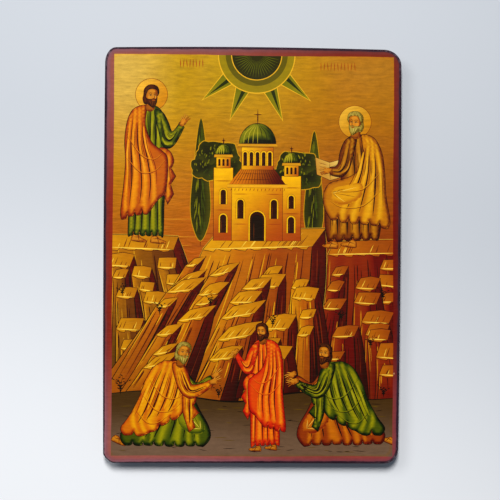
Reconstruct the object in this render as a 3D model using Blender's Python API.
"""Icon panel: a small painted wooden board with four hand-rounded corners.

The board lies on its back with the painted face up. +Y runs towards the top
of the picture and +X towards its right. The origin is on the back face, under
the middle of the board. All sizes are in metres.
"""
import math

import bmesh
import bpy

# Driving dimensions of the board
WIDTH = 0.200
HEIGHT = 0.280
THICKNESS = 0.020

# How far the planed top and sides swell outwards at their middles. The bottom
# edge, which the board stands on in a ledge, is left straight.
TOP_BOW = 0.0009
SIDE_BOW = 0.0005

# Corners, each as its reach along the width, its reach along the height and
# its fullness: 2 is a true quarter ellipse, and 1 is a straight cut.
TOP_LEFT = (0.0075, 0.0105, 2.0)
TOP_RIGHT = (0.0120, 0.0110, 2.0)
BOTTOM_RIGHT = (0.0095, 0.0105, 2.0)
BOTTOM_LEFT = (0.0062, 0.0060, 1.25)

# Softened edges round the painted face and round the back
FRONT_ROUND = 0.0020
BACK_ROUND = 0.0010

# The painted border, as its width on each side of the picture
BORDER_WIDTH = 0.0056

# How finely the round stretches are divided
CORNER_STEPS = 10
BOW_STEPS = 12
FRONT_ROUND_STEPS = 4
BACK_ROUND_STEPS = 2

# Tolerances: faces that turn by less than LEVEL_ANGLE degrees are one face,
# edges that turn by less than SMOOTH_ANGLE degrees are shaded as one, and a
# face looks up where its normal rises past FACES_UP
LEVEL_ANGLE = 0.01
SMOOTH_ANGLE = 35.0
FACES_UP = 0.999
WELD_DISTANCE = 1e-5

# Paint and stain, as linear red, green and blue
STAINED_WOOD = (0.022, 0.010, 0.014)
BORDER_RED = (0.155, 0.017, 0.016)
PICTURE_GOLD = (0.520, 0.240, 0.035)


def clear_scene():
    for item in list(bpy.data.objects):
        bpy.data.objects.remove(item, do_unlink=True)


def paint(name, colour, roughness, metallic):
    """One plain finish with the real one's colour, gloss and metal look."""
    material = bpy.data.materials.new(name)
    material.use_nodes = True
    shader = material.node_tree.nodes["Principled BSDF"]
    shader.inputs["Base Color"].default_value = (*colour, 1.0)
    shader.inputs["Roughness"].default_value = roughness
    shader.inputs["Metallic"].default_value = metallic
    material.diffuse_color = (*colour, 1.0)
    return material


def signed_power(value, power):
    return math.copysign(abs(value) ** power, value)


def corner_points(corner, side_x, side_y, first_degrees):
    """A rounded corner, run through a quarter turn from first_degrees."""
    reach_x, reach_y, fullness = corner
    middle_x = math.copysign(abs(side_x) - reach_x, side_x)
    middle_y = math.copysign(abs(side_y) - reach_y, side_y)
    points = []
    for step in range(CORNER_STEPS + 1):
        turn = math.radians(first_degrees + 90.0 * step / CORNER_STEPS)
        across = reach_x * signed_power(math.cos(turn), 2.0 / fullness)
        along = reach_y * signed_power(math.sin(turn), 2.0 / fullness)
        points.append((middle_x + across, middle_y + along))
    return points


def bowed_points(start, end, bow):
    """Points between two corners on a side that swells out by bow."""
    length = math.hypot(end[0] - start[0], end[1] - start[1])
    out_x = (end[1] - start[1]) / length
    out_y = (start[0] - end[0]) / length
    points = []
    for step in range(1, BOW_STEPS):
        share = step / BOW_STEPS
        swell = bow * math.sin(math.pi * share)
        x = start[0] + share * (end[0] - start[0]) + swell * out_x
        y = start[1] + share * (end[1] - start[1]) + swell * out_y
        points.append((x, y))
    return points


def board_outline():
    """The whole outline, counter-clockwise from the bottom right corner."""
    side = WIDTH / 2 - SIDE_BOW
    top = HEIGHT / 2 - TOP_BOW
    bottom = -HEIGHT / 2
    bottom_right = corner_points(BOTTOM_RIGHT, side, bottom, -90.0)
    top_right = corner_points(TOP_RIGHT, side, top, 0.0)
    top_left = corner_points(TOP_LEFT, -side, top, 90.0)
    bottom_left = corner_points(BOTTOM_LEFT, -side, bottom, 180.0)
    right_side = bowed_points(bottom_right[-1], top_right[0], SIDE_BOW)
    top_side = bowed_points(top_right[-1], top_left[0], TOP_BOW)
    left_side = bowed_points(top_left[-1], bottom_left[0], SIDE_BOW)
    return bottom_right + right_side + top_right + top_side + top_left + left_side + bottom_left


def slab_from_outline(name, points, thickness):
    """A flat filled curve of the outline, made a closed mesh of the slab."""
    curve = bpy.data.curves.new(name + "_outline", "CURVE")
    curve.dimensions = "2D"
    curve.fill_mode = "BOTH"
    curve.extrude = thickness / 2
    spline = curve.splines.new("POLY")
    spline.points.add(len(points) - 1)
    for point, (x, y) in zip(spline.points, points):
        point.co = (x, y, 0.0, 1.0)
    spline.use_cyclic_u = True
    outline = bpy.data.objects.new(name + "_outline", curve)
    bpy.context.scene.collection.objects.link(outline)
    evaluated = outline.evaluated_get(bpy.context.evaluated_depsgraph_get())
    mesh = bpy.data.meshes.new_from_object(evaluated)
    mesh.name = name
    bpy.data.objects.remove(outline, do_unlink=True)
    bpy.data.curves.remove(curve)
    return mesh


def rim_edges(shape, height):
    """The sharp edges that run round the slab at one height."""
    rim = []
    for edge in shape.edges:
        level = all(abs(end.co.z - height) < WELD_DISTANCE for end in edge.verts)
        if level and edge.calc_face_angle(0.0) > math.radians(SMOOTH_ANGLE):
            rim.append(edge)
    return rim


def soften_rim(shape, height, radius, steps):
    bmesh.ops.bevel(
        shape,
        geom=rim_edges(shape, height),
        offset=radius,
        segments=steps,
        profile=0.5,
        affect="EDGES",
    )


def lay_paint(shape):
    """Mark the painted border and, inside it, the picture's gold field."""
    stain_slot, border_slot, picture_slot = range(3)
    for face in shape.faces:
        face.material_index = stain_slot
    front = [face for face in shape.faces if face.normal.z > FACES_UP]
    for face in front:
        face.material_index = border_slot
    bmesh.ops.inset_region(shape, faces=front, thickness=BORDER_WIDTH - FRONT_ROUND)
    for face in front:
        face.material_index = picture_slot


def make_board(collection):
    mesh = slab_from_outline("board", board_outline(), THICKNESS)
    shape = bmesh.new()
    shape.from_mesh(mesh)
    bmesh.ops.remove_doubles(shape, verts=shape.verts, dist=WELD_DISTANCE)
    bmesh.ops.dissolve_limit(
        shape,
        angle_limit=math.radians(LEVEL_ANGLE),
        verts=shape.verts,
        edges=shape.edges,
    )
    soften_rim(shape, THICKNESS / 2, FRONT_ROUND, FRONT_ROUND_STEPS)
    soften_rim(shape, -THICKNESS / 2, BACK_ROUND, BACK_ROUND_STEPS)
    lay_paint(shape)
    bmesh.ops.recalc_face_normals(shape, faces=shape.faces)
    shape.to_mesh(mesh)
    shape.free()
    mesh.materials.append(paint("stained_wood", STAINED_WOOD, 0.45, 0.0))
    mesh.materials.append(paint("border_red", BORDER_RED, 0.40, 0.0))
    mesh.materials.append(paint("picture_gold", PICTURE_GOLD, 0.35, 0.6))
    mesh.shade_smooth()
    mesh.set_sharp_from_angle(angle=math.radians(SMOOTH_ANGLE))
    board = bpy.data.objects.new("board", mesh)
    board.location = (0.0, 0.0, THICKNESS / 2)
    collection.objects.link(board)
    return board


def main():
    clear_scene()
    panel = bpy.data.collections.new("icon_panel")
    bpy.context.scene.collection.children.link(panel)
    make_board(panel)


main()
